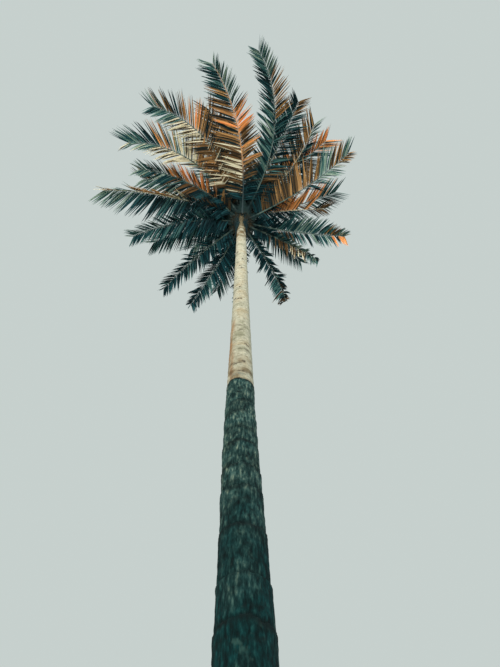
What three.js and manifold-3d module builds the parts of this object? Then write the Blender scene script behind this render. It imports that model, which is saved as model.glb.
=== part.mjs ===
// Coconut palm: a tall, slightly leaning trunk ringed by old leaf scars, the thick column of
// leaf sheaths that crowns it, a full round of feather fronds and one leaf still closed.
// Millimetres, +Z up. The origin is the centre of the flat cut at ground level.

import * as THREE from 'three';
import { mergeVertices } from 'three/addons/utils/BufferGeometryUtils.js';
import Module from 'manifold-3d';

const wasm = await Module();
wasm.setup();
const { degToRad, lerp } = THREE.MathUtils;

// The trunk: its height, the width it tapers to and what the butt and the foot add to that
const trunkTop = 14600;
const slimWidth = 190;
const buttExtra = 360;
const buttFade = 6200;
const footExtra = 200;
const footFade = 350;
const trunkSides = 18;

// The trunk's line: a steady lean towards -X, a low bow to +X and a long one to +Y
const lean = 0.0142;
const lowBow = 40;
const lowBowEnd = 6200;
const longBow = 80;
const longBowSpan = 16000;

// Each leaf scar leaves a lip: the trunk swells up to it and steps in above it
const scarHeights = [
  400, 850, 1300, 1750, 2200, 2700, 3150, 3540, 3870, 4310, 4740, 5020, 5360, 5580, 5870, 6080,
  6550, 6740, 6940, 7330, 7740, 8090, 8580, 9230, 9720, 10300, 10860, 11260, 12100, 12970, 13340, 13720,
];
const lipDepth = 8;
const lipFade = 7000;
const lipRun = 12;
const footHeights = [0, 90, 220];

// The column of leaf sheaths: radius at each height above the trunk's top
const heartProfile = [
  [0, 128], [100, 150], [300, 172], [600, 182], [900, 176], [1200, 150], [1450, 110], [1600, 72], [1700, 40],
];
const heartTop = trunkTop + 1700;
const heartSides = 16;

// The closed young leaf that stands on the column
const spearWidth = 56;
const spearLength = 2400;
const spearLean = 130;
const spearSides = 8;
const spearSteps = 6;
const spearPoint = 2;

// One row a frond, oldest and lowest first. Turn is the heading it leaves the trunk on, from
// +X towards +Y. Rise is its first slope, droop how far that has fallen at the tip and sweep
// how far it has swung sideways there. Roll tips the blade about its rib, and fold lets both
// sides hang. These are in degrees, and the length is in millimetres.
const fronds = [
  { turn: 92, rise: 10, droop: 110, length: 2600, sweep: 0, roll: 0, fold: 50 },
  { turn: 55, rise: 12, droop: 110, length: 2900, sweep: 5, roll: 0, fold: 50 },
  { turn: 142, rise: 20, droop: 80, length: 3000, sweep: 0, roll: 0, fold: 42 },
  { turn: 25, rise: 15, droop: 90, length: 2600, sweep: -10, roll: -10, fold: 58 },
  { turn: 116, rise: 15, droop: 85, length: 2900, sweep: 24, roll: 0, fold: 42 },
  { turn: 215, rise: 50, droop: 85, length: 3600, sweep: -25, roll: 12, fold: 42 },
  { turn: 5, rise: 75, droop: 105, length: 3500, sweep: -12, roll: -48, fold: 24 },
  { turn: 175, rise: 42, droop: 90, length: 3500, sweep: -10, roll: 10, fold: 42 },
  { turn: 345, rise: 42, droop: 80, length: 3800, sweep: -38, roll: -46, fold: 24 },
  { turn: 22, rise: 35, droop: 95, length: 3300, sweep: -38, roll: -30, fold: 34 },
  { turn: 275, rise: 35, droop: 75, length: 4300, sweep: -38, roll: -12, fold: 30 },
  { turn: 195, rise: 35, droop: 80, length: 4200, sweep: -8, roll: -36, fold: 28 },
  { turn: 235, rise: 45, droop: 80, length: 4300, sweep: -55, roll: 40, fold: 28 },
  { turn: 335, rise: 65, droop: 90, length: 4200, sweep: -50, roll: -42, fold: 24 },
  { turn: 305, rise: 40, droop: 75, length: 4900, sweep: -70, roll: 0, fold: 44 },
  { turn: 108, rise: 60, droop: 95, length: 3200, sweep: 0, roll: 0, fold: 30 },
  { turn: 255, rise: 45, droop: 90, length: 4400, sweep: -60, roll: 22, fold: 26 },
  { turn: 40, rise: 60, droop: 95, length: 2900, sweep: 0, roll: 0, fold: 30 },
  { turn: 160, rise: 60, droop: 92, length: 3600, sweep: 0, roll: 0, fold: 30 },
  { turn: 304, rise: 55, droop: 95, length: 4000, sweep: -14, roll: -10, fold: 26 },
  { turn: 200, rise: 65, droop: 90, length: 4000, sweep: -10, roll: 10, fold: 28 },
  { turn: 330, rise: 65, droop: 85, length: 4100, sweep: -15, roll: 0, fold: 28 },
  { turn: 260, rise: 70, droop: 80, length: 4100, sweep: -20, roll: 0, fold: 28 },
  { turn: 10, rise: 65, droop: 75, length: 4000, sweep: -35, roll: -20, fold: 28 },
  { turn: 132, rise: 75, droop: 66, length: 3900, sweep: 10, roll: 0, fold: 26 },
  { turn: 228, rise: 80, droop: 50, length: 3800, sweep: -12, roll: 0, fold: 26 },
];
const lowestSeat = trunkTop + 290;
const seatRise = 35;
const bendPower = 1.5;
const spineSteps = 48;

// The rib of a frond: a bare stalk, then the blade, with its width and depth along both
const stalkPart = 0.14;
const stalkSteps = 3;
const ribSizes = [
  { part: 0, width: 92, depth: 50 },
  { part: 0.14, width: 48, depth: 28 },
  { part: 0.6, width: 34, depth: 18 },
  { part: 1, width: 12, depth: 10 },
];

// The leaflets: one to a pitch on each side, at their fullest length on a frond of full size
const leafletPitch = 105;
const leafletLength = 950;
const fullFrond = 4200;
const leafletSag = 0.25;
const widestAngle = 86;
const angleFall = 52;
const angleFallPower = 1.2;
const swellStart = 0.15;
const swellSpan = 0.65;
const swellPower = 0.6;
const shorterTries = [1, 0.85, 0.7, 0.55, 0.4];
const leafletRoom = 4;
const hangingReach = 2600;
const columnReach = 1300;
const seatGap = 0.4;
const weldReach = 0.001;

const bark = new THREE.MeshStandardMaterial({ color: 0x8f8a78, roughness: 0.9, metalness: 0 });
const sheath = new THREE.MeshStandardMaterial({ color: 0x5b4630, roughness: 0.95, metalness: 0 });
const youngLeaf = new THREE.MeshStandardMaterial({ color: 0x9aa65a, roughness: 0.55, metalness: 0 });
const leafGreen = new THREE.MeshStandardMaterial({ color: 0x3f5a3c, roughness: 0.5, metalness: 0 });

// Where the trunk's centre lies at a height
function trunkAxis(height) {
  const bow = height < lowBowEnd ? lowBow * Math.sin(Math.PI * height / lowBowEnd) ** 2 : 0;
  const x = bow - lean * height;
  return new THREE.Vector3(x, longBow * Math.sin(Math.PI * height / longBowSpan), height);
}

// The trunk's smooth radius at a height, before the scars' lips
function trunkRadius(height) {
  const butt = buttExtra * Math.exp(-height / buttFade);
  const foot = footExtra * Math.exp(-height / footFade);
  return (slimWidth + butt + foot) / 2;
}

// A mesh with shared corners and no empty faces, closed and ready to cut
function weld(geometry) {
  const bare = geometry.clone();
  bare.deleteAttribute('normal');
  bare.deleteAttribute('uv');
  const merged = mergeVertices(bare, weldReach);
  const corners = merged.index.array;
  const faces = [];
  for (let i = 0; i < corners.length; i += 3) {
    const [a, b, c] = corners.slice(i, i + 3);
    if (a !== b && b !== c && c !== a) faces.push(a, b, c);
  }
  merged.setIndex(faces);
  return merged;
}

// A round body about the trunk's line, from radii at heights, each ring kept level
function roundBody(rings, sides, shift = trunkAxis) {
  const profile = rings.map(([height, radius]) => new THREE.Vector2(radius, height));
  profile.unshift(new THREE.Vector2(0, rings[0][0]));
  profile.push(new THREE.Vector2(0, rings.at(-1)[0]));
  const solid = weld(new THREE.LatheGeometry(profile, sides).rotateX(Math.PI / 2));
  const place = solid.attributes.position;
  for (let i = 0; i < place.count; i += 1) {
    const centre = shift(place.getZ(i));
    place.setXY(i, place.getX(i) + centre.x, place.getY(i) + centre.y);
  }
  return solid;
}

// The trunk's rings: two at each scar, under its lip and just above it
function trunkRings() {
  const rings = footHeights.map((height) => [height, trunkRadius(height)]);
  for (const height of scarHeights) {
    const lip = lipDepth * Math.exp(-height / lipFade);
    rings.push([height, trunkRadius(height) + lip]);
    rings.push([height + lipRun, trunkRadius(height + lipRun)]);
  }
  rings.push([trunkTop, trunkRadius(trunkTop)]);
  return rings;
}

// The sheath column's rings, grown outwards where it is used to cut the stalks
function heartRings(growth) {
  return heartProfile.map(([height, radius]) => [trunkTop + seatGap + height, radius + growth]);
}

// Where the closed leaf's centre lies: it leaves the column upright and leans as it climbs
function spearAxis(height) {
  const foot = trunkAxis(heartTop);
  const climbed = (height - heartTop) / spearLength;
  return new THREE.Vector3(foot.x - spearLean * climbed ** 2, foot.y, height);
}

function spearRings() {
  const foot = heartTop + 2 * seatGap;
  const rings = [];
  for (let i = 0; i < spearSteps; i += 1) {
    const climbed = i / spearSteps;
    rings.push([foot + spearLength * climbed, spearWidth / 2 * Math.sqrt(1 - climbed)]);
  }
  rings.push([foot + spearLength, spearPoint]);
  return rings;
}

// A frond's line: its slope falls and its heading swings as it runs out
function bearingAt(frond, part) {
  const bend = part ** bendPower;
  const slope = degToRad(frond.rise - frond.droop * bend);
  const heading = degToRad(frond.turn + frond.sweep * bend);
  return { slope, heading };
}

function spineOf(frond) {
  const point = trunkAxis(lowestSeat + seatRise * fronds.indexOf(frond));
  const spine = [point.clone()];
  const step = frond.length / spineSteps;
  for (let i = 0; i < spineSteps; i += 1) {
    const { slope, heading } = bearingAt(frond, (i + 0.5) / spineSteps);
    point.x += step * Math.cos(slope) * Math.cos(heading);
    point.y += step * Math.cos(slope) * Math.sin(heading);
    point.z += step * Math.sin(slope);
    spine.push(point.clone());
  }
  return spine;
}

// The rib's place and its three directions at a part of its length
function frameAt(frond, spine, part) {
  const { slope, heading } = bearingAt(frond, part);
  const index = Math.min(Math.floor(part * spineSteps), spineSteps - 1);
  const point = spine[index].clone().lerp(spine[index + 1], part * spineSteps - index);
  const along = new THREE.Vector3(Math.cos(slope) * Math.cos(heading), Math.cos(slope) * Math.sin(heading),
    Math.sin(slope));
  const left = new THREE.Vector3(-Math.sin(heading), Math.cos(heading), 0);
  left.applyAxisAngle(along, degToRad(frond.roll) * Math.min(1, 2 * part));
  const up = along.clone().cross(left);
  return { point, along, left, up };
}

function ribSize(part) {
  const next = ribSizes.findIndex((size) => size.part >= part && size.part > 0);
  const near = ribSizes[next - 1];
  const far = ribSizes[next];
  const blend = (part - near.part) / (far.part - near.part);
  return { width: lerp(near.width, far.width, blend), depth: lerp(near.depth, far.depth, blend) };
}

// The rib's four corners at a part: left top, right top, right bottom and left bottom
function ribCorners(frond, spine, part) {
  const { point, left, up } = frameAt(frond, spine, part);
  const { width, depth } = ribSize(part);
  const corner = (side, height) => point.clone().addScaledVector(left, side * width / 2)
    .addScaledVector(up, height * depth / 2);
  return [corner(1, 1), corner(-1, 1), corner(-1, -1), corner(1, -1)];
}

// Which way a leaflet points: square to the rib at its foot, more and more forward to the tip
function leafletDirection(frond, frame, side, blade) {
  const angle = degToRad(widestAngle - angleFall * blade ** angleFallPower);
  const fold = degToRad(frond.fold);
  const aside = frame.left.clone().multiplyScalar(side * Math.cos(fold));
  aside.addScaledVector(frame.up, -Math.sin(fold));
  const heading = frame.along.clone().multiplyScalar(Math.cos(angle)).addScaledVector(aside, Math.sin(angle));
  heading.z -= leafletSag;
  return heading.normalize();
}

function leafletReach(frond, blade) {
  const swell = Math.sin(Math.PI * (swellStart + swellSpan * blade)) ** swellPower;
  return leafletLength * swell * Math.min(1, frond.length / fullFrond);
}

// A stand-in for a leaflet or a stretch of rib: its corners, half its thickness and its bounds
function bodyOf(corners, half) {
  const centre = new THREE.Vector3();
  corners.forEach((corner) => centre.addScaledVector(corner, 1 / corners.length));
  const reach = Math.max(...corners.map((corner) => corner.distanceTo(centre)));
  const flat = corners.length === 3;
  const edges = corners.slice(flat ? 0 : 1).map((corner, i) => new THREE.Line3(corners[i], flat
    ? corners[(i + 1) % 3] : corner));
  return { corners, edges, half, centre, reach, face: flat ? new THREE.Triangle(...corners) : null };
}

const spot = new THREE.Vector3();
const otherSpot = new THREE.Vector3();

function pierces(edge, face) {
  const length = edge.distance();
  const ray = new THREE.Ray(edge.start, edge.delta(new THREE.Vector3()).normalize());
  const hit = ray.intersectTriangle(face.a, face.b, face.c, false, spot);
  return hit !== null && hit.distanceTo(edge.start) < length;
}

function meetsFace(body, face, room) {
  if (!face) return false;
  const nearby = (corner) => face.closestPointToPoint(corner, spot).distanceTo(corner) < room;
  return body.corners.some(nearby) || body.edges.some((edge) => pierces(edge, face));
}

// Whether two bodies come closer than their thickness and a little room allow
function tooClose(first, second) {
  const room = first.half + second.half + leafletRoom;
  if (first.centre.distanceTo(second.centre) > first.reach + second.reach + room) return false;
  const edgesMeet = first.edges.some((one) => second.edges.some(
    (other) => one.distanceSqToLine3(other, spot, otherSpot) < room * room));
  return edgesMeet || meetsFace(first, second.face, room) || meetsFace(second, first.face, room);
}

// The trunk's upper end, the column and the closed leaf, as limbs that leaflets keep clear of
function trunkLimbs() {
  const widest = Math.max(...heartProfile.map(([, radius]) => radius));
  const middle = trunkTop - hangingReach;
  const columnEnd = trunkTop + columnReach;
  return [
    bodyOf([trunkAxis(middle), trunkAxis(trunkTop)], trunkRadius(middle)),
    bodyOf([trunkAxis(trunkTop), trunkAxis(columnEnd)], widest),
    bodyOf([trunkAxis(columnEnd), spearAxis(heartTop + spearLength)], spearWidth),
  ];
}

// A frond's rib as a chain of limbs
function ribLimbs(plan) {
  const limbs = [];
  for (let i = 0; i < plan.parts.length - 1; i += 1) {
    const start = frameAt(plan.frond, plan.spine, plan.parts[i]).point;
    const end = frameAt(plan.frond, plan.spine, plan.parts[i + 1]).point;
    const { width, depth } = ribSize(plan.parts[i]);
    limbs.push(bodyOf([start, end], Math.hypot(width, depth) / 2));
  }
  return limbs;
}

// Where along the rib its sections lie: a few on the stalk, then one to each pair of leaflets
function planOf(frond) {
  const pairs = Math.round(frond.length * (1 - stalkPart) / leafletPitch);
  const parts = [];
  for (let i = 0; i < stalkSteps; i += 1) parts.push(stalkPart * i / stalkSteps);
  for (let i = 0; i <= pairs; i += 1) parts.push(lerp(stalkPart, 1, i / (pairs + 0.5)));
  return { frond, spine: spineOf(frond), parts, pairs };
}

// The longest leaflet that fits between two sections on one side, or null where none does
function leafletTip(plan, index, side, corners, limbs, leaves) {
  const blade = (index + 0.5) / plan.pairs;
  const part = (plan.parts[stalkSteps + index] + plan.parts[stalkSteps + index + 1]) / 2;
  const frame = frameAt(plan.frond, plan.spine, part);
  const direction = leafletDirection(plan.frond, frame, side, blade);
  const [first, second, third, fourth] = corners;
  const near = first.clone().lerp(second, 0.5);
  const far = third.clone().lerp(fourth, 0.5);
  const root = near.clone().lerp(far, 0.5);
  for (const share of shorterTries) {
    const tip = root.clone().addScaledVector(direction, share * leafletReach(plan.frond, blade));
    const leaf = bodyOf([near, far, tip], ribSize(part).depth / 2);
    const meets = (other) => tooClose(leaf, other);
    if (!limbs.some(meets) && !leaves.some(meets)) return { tip, leaf };
  }
  return null;
}

// One frond as a single closed comb: walls along the rib, with a leaflet standing on the side
// walls of each stretch of blade and a point at the end. Its own leaflets join the list last.
function frondShell(plan, limbs, leaves) {
  const rows = plan.parts.map((part) => ribCorners(plan.frond, plan.spine, part));
  const points = rows.flat();
  const faces = [0, 3, 2, 0, 2, 1];
  const grown = [];
  for (let row = 0; row < rows.length - 1; row += 1) {
    for (let a = 0; a < 4; a += 1) {
      const b = (a + 1) % 4;
      const wall = [4 * row + a, 4 * row + b, 4 * row + 4 + b, 4 * row + 4 + a];
      const side = { 1: -1, 3: 1 }[a];
      const index = row - stalkSteps;
      const leaflet = side && index >= 0
        ? leafletTip(plan, index, side, wall.map((i) => points[i]), limbs, leaves) : null;
      if (leaflet) {
        grown.push(leaflet.leaf);
        points.push(leaflet.tip);
        for (let i = 0; i < 4; i += 1) faces.push(wall[i], wall[(i + 1) % 4], points.length - 1);
      } else {
        faces.push(wall[0], wall[1], wall[2], wall[0], wall[2], wall[3]);
      }
    }
  }
  points.push(frameAt(plan.frond, plan.spine, 1).point);
  const last = 4 * (rows.length - 1);
  for (let a = 0; a < 4; a += 1) faces.push(last + a, last + (a + 1) % 4, points.length - 1);
  leaves.push(...grown);
  const shell = new THREE.BufferGeometry().setFromPoints(points);
  shell.setIndex(faces);
  return shell;
}

function solidOf(geometry) {
  const vertProperties = Float32Array.from(geometry.attributes.position.array);
  const triVerts = Uint32Array.from(geometry.index.array);
  return new wasm.Manifold(new wasm.Mesh({ numProp: 3, vertProperties, triVerts }));
}

function geometryOf(solid) {
  const { vertProperties, triVerts } = solid.getMesh();
  const geometry = new THREE.BufferGeometry();
  geometry.setAttribute('position', new THREE.BufferAttribute(vertProperties, 3));
  geometry.setIndex(new THREE.BufferAttribute(triVerts, 1));
  return geometry;
}

function named(name, geometry, material) {
  const mesh = new THREE.Mesh(geometry, material);
  mesh.name = name;
  geometry.computeVertexNormals();
  return mesh;
}

const palm = new THREE.Group();
palm.add(named('trunk', roundBody(trunkRings(), trunkSides), bark));
palm.add(named('heart', roundBody(heartRings(0), heartSides), sheath));
palm.add(named('spear', roundBody(spearRings(), spearSides, spearAxis), youngLeaf));

const cutter = solidOf(roundBody(heartRings(seatGap), heartSides));
const plans = fronds.map(planOf);
const ribs = plans.map(ribLimbs);
const leaves = [];
plans.forEach((plan, number) => {
  const others = ribs.filter((chain) => chain !== ribs[number]).flat();
  const shell = frondShell(plan, [...trunkLimbs(), ...others], leaves);
  const name = `frond_${String(number + 1).padStart(2, '0')}`;
  palm.add(named(name, geometryOf(solidOf(shell).subtract(cutter)), leafGreen.clone()));
});

export default palm;
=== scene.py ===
import math
from collections import namedtuple

import bpy
import numpy as np
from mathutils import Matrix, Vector, noise


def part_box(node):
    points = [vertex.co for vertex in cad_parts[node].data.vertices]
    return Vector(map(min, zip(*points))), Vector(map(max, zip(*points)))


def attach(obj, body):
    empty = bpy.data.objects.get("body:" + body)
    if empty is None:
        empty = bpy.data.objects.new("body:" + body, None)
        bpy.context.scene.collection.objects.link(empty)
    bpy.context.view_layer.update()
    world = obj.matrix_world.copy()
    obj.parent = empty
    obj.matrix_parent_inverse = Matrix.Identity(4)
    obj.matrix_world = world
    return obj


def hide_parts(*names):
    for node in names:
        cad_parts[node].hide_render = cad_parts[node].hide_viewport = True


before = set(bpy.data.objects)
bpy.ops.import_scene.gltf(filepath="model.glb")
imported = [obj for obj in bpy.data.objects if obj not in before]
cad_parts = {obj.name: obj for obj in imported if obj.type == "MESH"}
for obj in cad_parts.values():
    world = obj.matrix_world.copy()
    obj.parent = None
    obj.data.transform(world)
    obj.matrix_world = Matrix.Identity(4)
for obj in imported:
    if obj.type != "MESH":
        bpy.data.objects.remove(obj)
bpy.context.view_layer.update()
bpy.ops.object.select_all(action="DESELECT")
print("frame loaded")


# Helpers for colours, nodes and meshes

def linear(hexColour):
    channels = [int(hexColour[i:i + 2], 16) / 255 for i in (1, 3, 5)]
    return [c / 12.92 if c <= 0.04045 else ((c + 0.055) / 1.055) ** 2.4 for c in channels] + [1]


def addNode(material, kind, settings=None, links=None):
    node = material.node_tree.nodes.new("ShaderNode" + kind)
    for name, value in (settings or {}).items():
        if name == "stops":
            ramp = node.color_ramp.elements
            while len(ramp) < len(value):
                ramp.new(1)
            for stop, (place, colour) in zip(ramp, value):
                stop.position = place
                stop.color = linear(colour)
        elif isinstance(name, int) or name in node.inputs:
            node.inputs[name].default_value = value
        else:
            setattr(node, name, value)
    for name, socket in (links or {}).items():
        material.node_tree.links.new(socket, node.inputs[name])
    return node


def newMaterial(name, settings):
    material = bpy.data.materials.new(name)
    material.use_nodes = True
    surface = material.node_tree.nodes["Principled BSDF"]
    for socket, value in settings.items():
        surface.inputs[socket].default_value = value
    return material, surface


# A noise drawn out along the piece, and a ramp of colours over it
def streaked(material, scale, settings, stops):
    place = addNode(material, "TexCoord").outputs["Object"]
    drawnOut = addNode(material, "Mapping", {"Scale": scale}, {"Vector": place})
    pattern = addNode(material, "TexNoise", {"Scale": 1, **settings}, {"Vector": drawnOut.outputs[0]})
    ramp = addNode(material, "ValToRGB", {"stops": stops}, {"Fac": pattern.outputs["Fac"]})
    return pattern.outputs["Fac"], ramp.outputs[0]


# Multiplies a base by the colours of a soft noise
def patched(material, base, amount, settings, stops):
    place = addNode(material, "TexCoord").outputs["Object"]
    patches = addNode(material, "TexNoise", settings, {"Vector": place})
    weather = addNode(material, "ValToRGB", {"stops": stops}, {"Fac": patches.outputs["Fac"]})
    settings = {"data_type": "RGBA", "blend_type": "MULTIPLY", 0: amount}
    return addNode(material, "Mix", settings, {6: base, 7: weather.outputs[0]}).outputs[2]


# A mask of small dots, squeezed along the piece or drawn out
def dotted(material, squeeze, scale, stops):
    place = addNode(material, "TexCoord").outputs["Object"]
    cells = addNode(material, "Mapping", {"Scale": (1, 1, squeeze)}, {"Vector": place})
    dots = addNode(material, "TexVoronoi", {"Scale": scale, "Randomness": 1}, {"Vector": cells.outputs[0]})
    return addNode(material, "ValToRGB", {"stops": stops}, {"Fac": dots.outputs["Distance"]}).outputs[0]


# Lays flat colours over a base in turn, each as far as a socket or the mesh's attribute of that name says
def layered(material, base, layers):
    for amount, colour, blend in layers:
        if isinstance(amount, str):
            amount = addNode(material, "Attribute", {"attribute_name": amount}).outputs["Fac"]
        settings = {"data_type": "RGBA", "blend_type": blend, 7: linear(colour)}
        base = addNode(material, "Mix", settings, {0: amount, 6: base}).outputs[2]
    return base


# Gives the surface its colour, and relief where there is a height for it
def coat(material, surface, colour, height=None, strength=0, depth=0):
    material.node_tree.links.new(colour, surface.inputs["Base Color"])
    if height is not None:
        settings = {"Strength": strength, "Distance": depth}
        bump = addNode(material, "Bump", settings, {"Height": height})
        material.node_tree.links.new(bump.outputs[0], surface.inputs["Normal"])


# Gives a piece its material, and smooth shading over edges that bend by less than an angle in degrees
def dress(piece, material, smooth=None):
    piece.data.materials.append(material)
    if smooth:
        bpy.ops.object.select_all(action="DESELECT")
        bpy.context.view_layer.objects.active = piece
        piece.select_set(True)
        bpy.ops.object.shade_smooth_by_angle(angle=math.radians(smooth))
        piece.select_set(False)
    return piece


def meshFromArrays(name, points, faces, material, smooth=None):
    mesh = bpy.data.meshes.new(name)
    mesh.from_pydata(points.tolist(), [], faces)
    piece = bpy.data.objects.new(name, mesh)
    bpy.context.scene.collection.objects.link(piece)
    return dress(piece, material, smooth)


# The faces of a grid of points that starts at one index and is numbered row by row
def gridFaces(start, rows, columns, acrossFirst=True):
    one, other = (1, columns) if acrossFirst else (columns, 1)
    firsts = [start + row * columns + column for row in range(rows - 1) for column in range(columns - 1)]
    return [(a, a + one, a + one + other, a + other) for a in firsts]


def turned(faces):
    return [tuple(reversed(face)) for face in faces]


def pointsOf(piece):
    flat = np.empty(len(piece.data.vertices) * 3)
    piece.data.vertices.foreach_get("co", flat)
    return flat.reshape(-1, 3)


def setMode(mode):
    bpy.ops.object.mode_set(mode=mode)


def extrudeUp(times, rise):
    for _ in range(times):
        bpy.ops.mesh.extrude_region_move(TRANSFORM_OT_translate={"value": (0, 0, rise)})


def turnOutwards():
    bpy.ops.mesh.select_all(action="SELECT")
    bpy.ops.mesh.normals_make_consistent(inside=False)
    setMode("OBJECT")


# Cuts the edges that run up a piece, and no others: it is in edge mode before they are chosen
def cutUprights(piece, climb, cuts):
    setMode("EDIT")
    bpy.ops.mesh.select_mode(type="EDGE")
    bpy.ops.mesh.select_all(action="DESELECT")
    setMode("OBJECT")
    for edge in piece.data.edges:
        low, high = (piece.data.vertices[i].co.z for i in edge.vertices)
        edge.select = abs(high - low) > climb
    setMode("EDIT")
    bpy.ops.mesh.subdivide(number_cuts=cuts)
    bpy.ops.mesh.select_mode(type="VERT")
    setMode("OBJECT")


# An upright closed tube of radius 1, whose points are then put in their places by a rule
def plainTube(piece):
    bpy.ops.mesh.primitive_circle_add(vertices=piece["around"], radius=1, location=(0, 0, piece["foot"]))
    tube = bpy.context.object
    tube.name = tube.data.name = piece["name"]
    bpy.ops.object.transform_apply(location=True)
    rise = (piece["top"] - piece["foot"]) / piece["rows"]
    setMode("EDIT")
    bpy.ops.mesh.select_all(action="SELECT")
    extrudeUp(piece["rows"], rise)
    setMode("OBJECT")
    if piece["cuts"]:
        cutUprights(tube, rise / 2, piece["cuts"])
    setMode("EDIT")
    bpy.ops.mesh.select_all(action="DESELECT")
    bpy.ops.mesh.select_non_manifold()
    bpy.ops.mesh.fill_holes(sides=0)
    turnOutwards()
    return tube


# The palm's own rules, in metres, the same as its solids were made by

trunk = {
    "top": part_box("trunk")[1].z, "slim": 0.19, "butt": 0.36, "buttFade": 6.2, "foot": 0.2, "footFade": 0.35,
}
bows = {"lean": 0.0142, "low": 0.04, "lowEnd": 6.2, "long": 0.08, "longSpan": 16.0}
scars = [
    0.4, 0.85, 1.3, 1.75, 2.2, 2.7, 3.15, 3.54, 3.87, 4.31, 4.74, 5.02, 5.36, 5.58, 5.87, 6.08, 6.55, 6.74,
    6.94, 7.33, 7.74, 8.09, 8.58, 9.23, 9.72, 10.3, 10.86, 11.26, 12.1, 12.97, 13.34, 13.72,
]
lip = {"depth": 0.008, "fade": 7.0}
heartProfile = [
    (0, 0.128), (0.1, 0.15), (0.3, 0.172), (0.6, 0.182), (0.9, 0.176), (1.2, 0.15), (1.45, 0.11),
    (1.6, 0.072), (1.7, 0.04),
]
heartTop = trunk["top"] + heartProfile[-1][0]


def trunkAxis(height):
    height = np.asarray(height, float)
    bow = np.where(height < bows["lowEnd"], bows["low"] * np.sin(math.pi * height / bows["lowEnd"]) ** 2, 0)
    x = bow - bows["lean"] * height
    return np.stack([x, bows["long"] * np.sin(math.pi * height / bows["longSpan"]), height], -1)


def trunkRadius(height):
    butt = trunk["butt"] * np.exp(-height / trunk["buttFade"])
    foot = trunk["foot"] * np.exp(-height / trunk["footFade"])
    return (trunk["slim"] + butt + foot) / 2


def heartRadius(height):
    heights, radii = zip(*heartProfile)
    return np.interp(height - trunk["top"], heights, radii)


# One point or many, at an angle round an upright axis and a radius away from it: the z axis or the trunk's
def aroundZ(angle, radius, height):
    return np.stack([np.cos(angle) * radius, np.sin(angle) * radius, height], -1)


def aroundAxis(angle, radius, height):
    return trunkAxis(height) + aroundZ(angle, radius, 0 * height)


# One row a frond, oldest and lowest first: its shape as in the solids, in degrees and metres, then the
# mixes of its sprays of leaflets, left and right of the rib, from foot to tip and each as often as its
# star says, with gone where there are none, and last the rib's tint, if it isn't green
Frond = namedtuple("Frond", "turn rise droop length sweep roll fold left right rib", defaults=["green"])
fronds = [
    Frond(92, 10, 110, 2.6, 0, 0, 50, "shade*2 teal", "shade*3"),
    Frond(55, 12, 110, 2.9, 5, 0, 50, "shade*2 teal umber", "shade teal shade umber"),
    Frond(142, 20, 80, 3.0, 0, 0, 42, "shade*3 teal", "shade teal shade"),
    Frond(25, 15, 90, 2.6, -10, -10, 58, "shade umber straw grey", "shade teal grey teal"),
    Frond(116, 15, 85, 2.9, 24, 0, 42, "shade*3", "shade*2 teal shade"),
    Frond(215, 50, 85, 3.6, -25, 12, 42, "umber*2 tan rust orange*5 rust umber teal*2 grey",
          "shade*2 umber teal grey"),
    Frond(5, 75, 105, 3.5, -12, -48, 24, "shade*4 teal gone umber",
          "umber*3 orange*13 gone orange gone*2 umber*2", "pale"),
    Frond(175, 42, 90, 3.5, -10, 10, 42, "shade teal shade teal grey", "shade*2 teal*2"),
    Frond(345, 42, 80, 3.8, -38, -46, 24, "shade gone*4 shade teal grey straw tan",
          "shade umber tan umber fawn tan fawn grey tan grey"),
    Frond(22, 35, 95, 3.3, -38, -30, 34, "shade*2 umber teal shade grey teal orange",
          "shade*2 teal grey*2 teal tan grey"),
    Frond(275, 35, 75, 4.3, -38, -12, 30,
          "shade*2 umber shade umber*2 tan rust tan rust umber tan orange*3 teal*2 grey*4 teal grey*2",
          "shade straw*4 tan rust tan*2 teal shade grey", "warm"),
    Frond(195, 35, 80, 4.2, -8, -36, 28, "umber*3 cream fawn*3 grey*2 straw",
          "shade*3 teal shade teal grey*2", "paleLongShade"),
    Frond(235, 45, 80, 4.3, -55, 40, 28, "umber*2 straw*2 fawn cream*2 grey rust shade teal grey",
          "shade gone*3 cream*3 grey cream"),
    Frond(335, 65, 90, 4.2, -50, -42, 24, "shade*2 teal shade*2 teal grey",
          "shade umber tan fawn*2 straw rust straw fawn tan", "pale"),
    Frond(305, 40, 75, 4.9, -70, 0, 44, "shade umber gone*2 teal tan fawn grey*2",
          "shade teal*2 grey teal grey teal*2 shade teal grey"),
    Frond(108, 60, 95, 3.2, 0, 0, 30, "shade teal*2", "shade*2 teal"),
    Frond(255, 45, 90, 4.4, -60, 22, 26, "shade umber tan*2 umber*2 tan rust tan shade tan grey",
          "shade straw*2 tan straw cream*2 grey teal"),
    Frond(40, 60, 95, 2.9, 0, 0, 30, "shade teal*2", "shade*2 teal"),
    Frond(160, 60, 92, 3.6, 0, 0, 30, "shade teal grey", "shade teal*2"),
    Frond(304, 55, 95, 4.0, -14, -10, 26, "shade umber teal shade teal tan", "shade teal shade teal shade"),
    Frond(200, 65, 90, 4.0, -10, 10, 28, "shade umber shade umber teal grey tan", "shade*2 teal grey"),
    Frond(330, 65, 85, 4.1, -15, 0, 28, "shade*3 teal shade rust", "shade umber*2 tan*2 orange"),
    Frond(260, 70, 80, 4.1, -20, 0, 28, "shade umber*2 tan", "shade umber cream umber tan"),
    Frond(10, 65, 75, 4.0, -35, -20, 28, "shade*2 umber teal",
          "shade*2 umber teal*2 shade gone orange teal*2"),
    Frond(132, 75, 66, 3.9, 10, 0, 26, "shade grey teal*2", "shade teal grey"),
    Frond(228, 80, 50, 3.8, -12, 0, 26, "shade grey teal grey", "shade teal grey"),
]
seats = {"lowest": trunk["top"] + 0.29, "rise": 0.035}
bendPower = 1.5
spineSteps = 48
stalkPart = 0.14
rolledAt = 0.5
ribParts = (0, stalkPart, 0.6, 1)
ribWidths, ribDepths = (0.092, 0.048, 0.034, 0.012), (0.05, 0.028, 0.018, 0.01)


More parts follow.
